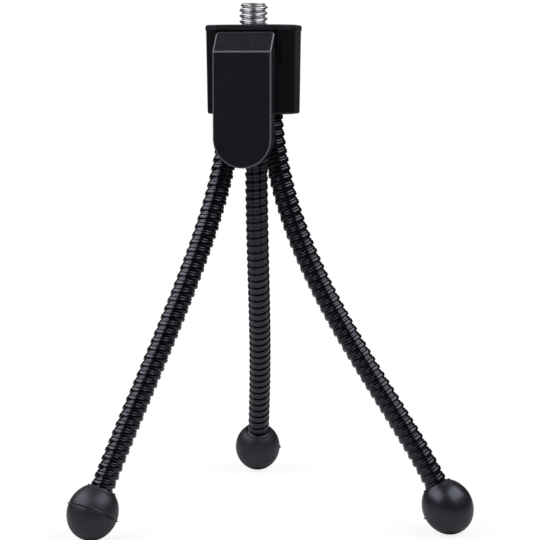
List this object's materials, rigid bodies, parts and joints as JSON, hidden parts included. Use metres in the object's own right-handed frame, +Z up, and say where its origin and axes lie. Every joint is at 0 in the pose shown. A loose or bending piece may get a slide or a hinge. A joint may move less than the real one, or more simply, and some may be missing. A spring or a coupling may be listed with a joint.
{
  "type": "flexible leg tripod",
  "caption": "Pocket camera tripod with a moulded head, a camera stud on top, a spring clip on the front and bendable gooseneck legs with rubber ball feet.",
  "frame": {"origin": "on the floor, in the middle of the box round the whole tripod, which is the box round its three ball feet", "axes": "+Z up along the camera stud, the clip and its jaw face -Y, two legs in front and one behind"},
  "size_m": [0.085, 0.0858, 0.1154],
  "materials": {
    "head_plastic": "satin",
    "clip_plastic": "satin",
    "zinc_screw": "zinc-plated",
    "inner_steel": "plain",
    "gooseneck_black": "gloss black",
    "foot_rubber": "matte"
  },
  "bodies": {
    "root": {"head_housing": "head_plastic", "top_plate": "head_plastic", "camera_screw": "zinc_screw", "leg_clamp_plate": "head_plastic", "clamp_screws": "inner_steel", "clip_pin": "inner_steel", "clip_spring": "inner_steel", "left_leg_ferrule": "inner_steel", "rear_leg_ferrule": "inner_steel", "right_leg_ferrule": "inner_steel", "left_gooseneck_root": "gooseneck_black", "rear_gooseneck_root": "gooseneck_black", "right_gooseneck_root": "gooseneck_black"},
    "clip": {"clip_lever": "clip_plastic"},
    "left_leg_1": {"left_gooseneck_1": "gooseneck_black"},
    "left_leg_2": {"left_gooseneck_2": "gooseneck_black"},
    "left_leg_3": {"left_gooseneck_3": "gooseneck_black"},
    "left_leg_4": {"left_gooseneck_4": "gooseneck_black"},
    "left_leg_5": {"left_gooseneck_5": "gooseneck_black"},
    "left_leg_6": {"left_gooseneck_6": "gooseneck_black"},
    "left_leg_7": {"left_gooseneck_7": "gooseneck_black"},
    "left_leg_8": {"left_gooseneck_8": "gooseneck_black", "left_foot_ball": "foot_rubber"},
    "rear_leg_1": {"rear_gooseneck_1": "gooseneck_black"},
    "rear_leg_2": {"rear_gooseneck_2": "gooseneck_black"},
    "rear_leg_3": {"rear_gooseneck_3": "gooseneck_black"},
    "rear_leg_4": {"rear_gooseneck_4": "gooseneck_black"},
    "rear_leg_5": {"rear_gooseneck_5": "gooseneck_black"},
    "rear_leg_6": {"rear_gooseneck_6": "gooseneck_black"},
    "rear_leg_7": {"rear_gooseneck_7": "gooseneck_black"},
    "rear_leg_8": {"rear_gooseneck_8": "gooseneck_black", "rear_foot_ball": "foot_rubber"},
    "right_leg_1": {"right_gooseneck_1": "gooseneck_black"},
    "right_leg_2": {"right_gooseneck_2": "gooseneck_black"},
    "right_leg_3": {"right_gooseneck_3": "gooseneck_black"},
    "right_leg_4": {"right_gooseneck_4": "gooseneck_black"},
    "right_leg_5": {"right_gooseneck_5": "gooseneck_black"},
    "right_leg_6": {"right_gooseneck_6": "gooseneck_black"},
    "right_leg_7": {"right_gooseneck_7": "gooseneck_black"},
    "right_leg_8": {"right_gooseneck_8": "gooseneck_black", "right_foot_ball": "foot_rubber"}
  },
  "joints": [
    {"name": "clip_hinge", "type": "hinge", "parent": "root", "child": "clip", "pos_m": [-0.00904, -0.01342, 0.1044], "axis": [-1, 0, 0], "range_deg": [0, 18], "stiffness_Nm_per_rad": 0.03, "springref_deg": -14.32, "deforming": ["clip_spring"]},
    {"name": "left_splay_1", "type": "hinge", "parent": "root", "child": "left_leg_1", "pos_m": [-0.01384, -0.00777, 0.0886], "axis": [-0.809, 0.5878, 0.0073], "range_deg": [-10, 14]},
    {"name": "left_sway_2", "type": "hinge", "parent": "left_leg_1", "child": "left_leg_2", "pos_m": [-0.01531, -0.00966, 0.07743], "axis": [0.549, 0.7654, -0.3357], "range_deg": [-18, 18]},
    {"name": "left_splay_3", "type": "hinge", "parent": "left_leg_2", "child": "left_leg_3", "pos_m": [-0.01772, -0.01266, 0.06666], "axis": [-0.8088, 0.5876, 0.0217], "range_deg": [-18, 18]},
    {"name": "left_sway_4", "type": "hinge", "parent": "left_leg_3", "child": "left_leg_4", "pos_m": [-0.02064, -0.0163, 0.05622], "axis": [0.5168, 0.7288, -0.4493], "range_deg": [-18, 18]},
    {"name": "left_splay_5", "type": "hinge", "parent": "left_leg_4", "child": "left_leg_5", "pos_m": [-0.02385, -0.02032, 0.04601], "axis": [-0.8088, 0.5877, 0.0213], "range_deg": [-18, 18]},
    {"name": "left_sway_6", "type": "hinge", "parent": "left_leg_5", "child": "left_leg_6", "pos_m": [-0.02719, -0.02456, 0.03592], "axis": [0.5092, 0.7151, -0.4788], "range_deg": [-18, 18]},
    {"name": "left_splay_7", "type": "hinge", "parent": "left_leg_6", "child": "left_leg_7", "pos_m": [-0.03056, -0.02889, 0.02588], "axis": [-0.809, 0.5877, 0.0118], "range_deg": [-18, 18]},
    {"name": "left_sway_8", "type": "hinge", "parent": "left_leg_7", "child": "left_leg_8", "pos_m": [-0.03385, -0.03321, 0.01582], "axis": [0.5199, 0.719, -0.4612], "range_deg": [-18, 18]},
    {"name": "rear_splay_1", "type": "hinge", "parent": "root", "child": "rear_leg_1", "pos_m": [-0.00904, -0.00257, 0.0886], "axis": [0.9466, 0.3222, 0.0134], "range_deg": [-10, 14]},
    {"name": "rear_sway_2", "type": "hinge", "parent": "rear_leg_1", "child": "rear_leg_2", "pos_m": [-0.0096, -0.00045, 0.07711], "axis": [0.3181, -0.8949, -0.3131], "range_deg": [-18, 18]},
    {"name": "rear_splay_3", "type": "hinge", "parent": "rear_leg_2", "child": "rear_leg_3", "pos_m": [-0.01035, 0.00317, 0.066], "axis": [0.9447, 0.3216, 0.0636], "range_deg": [-18, 18]},
    {"name": "rear_sway_4", "type": "hinge", "parent": "rear_leg_3", "child": "rear_leg_4", "pos_m": [-0.01133, 0.00812, 0.05544], "axis": [0.3139, -0.8046, -0.504], "range_deg": [-18, 18]},
    {"name": "rear_splay_5", "type": "hinge", "parent": "rear_leg_4", "child": "rear_leg_5", "pos_m": [-0.01252, 0.01397, 0.04537], "axis": [0.9443, 0.3215, 0.0711], "range_deg": [-18, 18]},
    {"name": "rear_sway_6", "type": "hinge", "parent": "rear_leg_5", "child": "rear_leg_6", "pos_m": [-0.0139, 0.02019, 0.03554], "axis": [0.2992, -0.7863, -0.5405], "range_deg": [-18, 18]},
    {"name": "rear_splay_7", "type": "hinge", "parent": "rear_leg_6", "child": "rear_leg_7", "pos_m": [-0.01543, 0.02637, 0.02571], "axis": [0.9461, 0.3221, 0.033], "range_deg": [-18, 18]},
    {"name": "rear_sway_8", "type": "hinge", "parent": "rear_leg_7", "child": "rear_leg_8", "pos_m": [-0.01707, 0.03221, 0.0157], "axis": [0.2874, -0.8285, -0.4806], "range_deg": [-18, 18]},
    {"name": "right_splay_1", "type": "hinge", "parent": "root", "child": "right_leg_1", "pos_m": [-0.00424, -0.00777, 0.0886], "axis": [-0.1771, -0.9842, -0.0026], "range_deg": [-10, 14]},
    {"name": "right_sway_2", "type": "hinge", "parent": "right_leg_1", "child": "right_leg_2", "pos_m": [-0.00219, -0.00811, 0.07703], "axis": [-0.9353, 0.1706, -0.3099], "range_deg": [-18, 18]},
    {"name": "right_splay_3", "type": "hinge", "parent": "right_leg_2", "child": "right_leg_3", "pos_m": [0.00141, -0.00867, 0.06585], "axis": [-0.1771, -0.9841, -0.0115], "range_deg": [-18, 18]},
    {"name": "right_sway_4", "type": "hinge", "parent": "right_leg_3", "child": "right_leg_4", "pos_m": [0.00629, -0.00942, 0.05517], "axis": [-0.8521, 0.1606, -0.4982], "range_deg": [-18, 18]},
    {"name": "right_splay_5", "type": "hinge", "parent": "right_leg_4", "child": "right_leg_5", "pos_m": [0.01208, -0.01032, 0.04498], "axis": [-0.1771, -0.9841, -0.0154], "range_deg": [-18, 18]},
    {"name": "right_sway_6", "type": "hinge", "parent": "right_leg_5", "child": "right_leg_6", "pos_m": [0.01843, -0.01131, 0.03513], "axis": [-0.8108, 0.154, -0.5647], "range_deg": [-18, 18]},
    {"name": "right_splay_7", "type": "hinge", "parent": "right_leg_6", "child": "right_leg_7", "pos_m": [0.025, -0.01235, 0.02542], "axis": [-0.1771, -0.9841, -0.0104], "range_deg": [-18, 18]},
    {"name": "right_sway_8", "type": "hinge", "parent": "right_leg_7", "child": "right_leg_8", "pos_m": [0.03139, -0.01339, 0.01559], "axis": [-0.8544, 0.1557, -0.4957], "range_deg": [-18, 18]}
  ]
}
